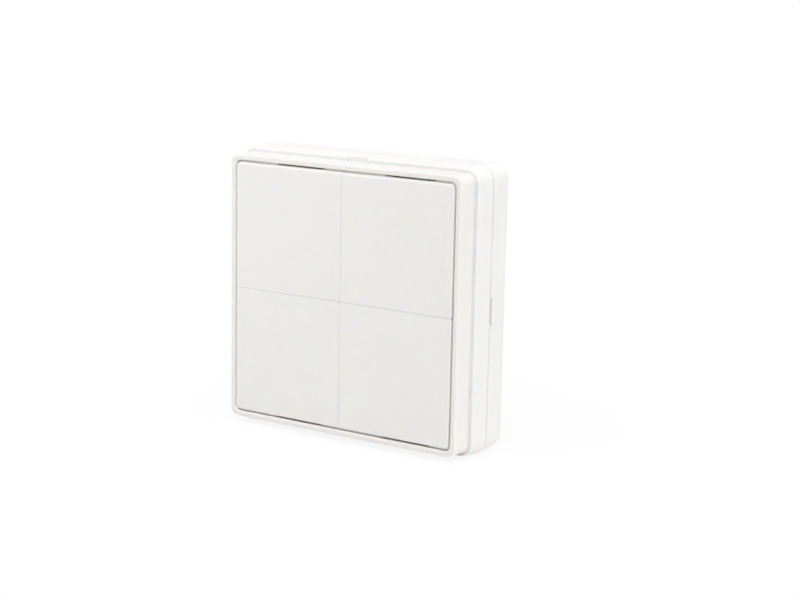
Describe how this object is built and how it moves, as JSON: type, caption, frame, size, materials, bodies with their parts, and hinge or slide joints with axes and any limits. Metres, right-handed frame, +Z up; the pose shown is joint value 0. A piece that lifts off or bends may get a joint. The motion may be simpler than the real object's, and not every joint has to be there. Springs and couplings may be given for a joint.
{
  "type": "smart button",
  "caption": "Square wireless wall button: flat rocking caps in a thin-lipped frame, over a battery-powered switch board in a shell that snaps onto a wall base.",
  "frame": {"origin": "centre of the wall base's rear face, on the wall", "axes": "+Z up, +Y into the wall, so the caps face -Y; +X to the right as seen from the front"},
  "size_m": [0.086, 0.024, 0.086],
  "materials": {
    "shell": "satin moulded white plastic",
    "frame": "satin moulded white plastic",
    "caps": "smooth satin white plastic",
    "carrier": "plain moulded plastic",
    "board": "green solder mask",
    "switch_black": "black moulded plastic",
    "metal": "plated steel",
    "rubber": "soft black rubber",
    "cell_jacket": "plain dark grey battery jacket",
    "module_board": "dark solder mask",
    "chips": "ceramic"
  },
  "bodies": {
    "housing": {"wall_base": "shell", "mid_housing": "shell", "front_frame": "frame", "button_carrier": "carrier", "circuit_board": "board", "switch_top_left": "switch_black", "switch_top_right": "switch_black", "switch_bottom_left": "switch_black", "switch_bottom_right": "switch_black", "switch_covers": "metal", "switch_legs": "metal", "stop_pads": "rubber", "carrier_screws": "metal", "battery_upper": "cell_jacket", "battery_lower": "cell_jacket", "contact_link": "metal", "contact_positive": "metal", "contact_negative": "metal", "radio_module": "module_board", "radio_shield": "metal", "chip_parts": "chips"},
    "cap_top_left": {"cap_top_left": "caps"},
    "cap_top_right": {"cap_top_right": "caps"},
    "cap_bottom_left": {"cap_bottom_left": "caps"},
    "cap_bottom_right": {"cap_bottom_right": "caps"},
    "plunger_top_left": {"plunger_top_left": "switch_black"},
    "plunger_top_right": {"plunger_top_right": "switch_black"},
    "plunger_bottom_left": {"plunger_bottom_left": "switch_black"},
    "plunger_bottom_right": {"plunger_bottom_right": "switch_black"}
  },
  "joints": [
    {"name": "press_top_left", "type": "hinge", "parent": "housing", "child": "cap_top_left", "pos_m": [-0.01942, -0.0206, 0.0024], "axis": [-1, 0, 0], "range_deg": [0, 0.9], "stiffness_Nm_per_rad": 1},
    {"name": "press_top_right", "type": "hinge", "parent": "housing", "child": "cap_top_right", "pos_m": [0.01942, -0.0206, 0.0024], "axis": [-1, 0, 0], "range_deg": [0, 0.9], "stiffness_Nm_per_rad": 1},
    {"name": "press_bottom_left", "type": "hinge", "parent": "housing", "child": "cap_bottom_left", "pos_m": [-0.01942, -0.0206, -0.0024], "axis": [1, 0, 0], "range_deg": [0, 0.9], "stiffness_Nm_per_rad": 1},
    {"name": "press_bottom_right", "type": "hinge", "parent": "housing", "child": "cap_bottom_right", "pos_m": [0.01942, -0.0206, -0.0024], "axis": [1, 0, 0], "range_deg": [0, 0.9], "stiffness_Nm_per_rad": 1},
    {"name": "plunge_top_left", "type": "slide", "parent": "housing", "child": "plunger_top_left", "axis": [0, 1, 0], "range_m": [0, 0.00035]},
    {"name": "plunge_top_right", "type": "slide", "parent": "housing", "child": "plunger_top_right", "axis": [0, 1, 0], "range_m": [0, 0.00035]},
    {"name": "plunge_bottom_left", "type": "slide", "parent": "housing", "child": "plunger_bottom_left", "axis": [0, 1, 0], "range_m": [0, 0.00035]},
    {"name": "plunge_bottom_right", "type": "slide", "parent": "housing", "child": "plunger_bottom_right", "axis": [0, 1, 0], "range_m": [0, 0.00035]}
  ],
  "couplings": [
    {"joint": "plunge_top_left", "follows": "press_top_left", "m_per_rad": 0.022},
    {"joint": "plunge_top_right", "follows": "press_top_right", "m_per_rad": 0.022},
    {"joint": "plunge_bottom_left", "follows": "press_bottom_left", "m_per_rad": 0.022},
    {"joint": "plunge_bottom_right", "follows": "press_bottom_right", "m_per_rad": 0.022}
  ]
}
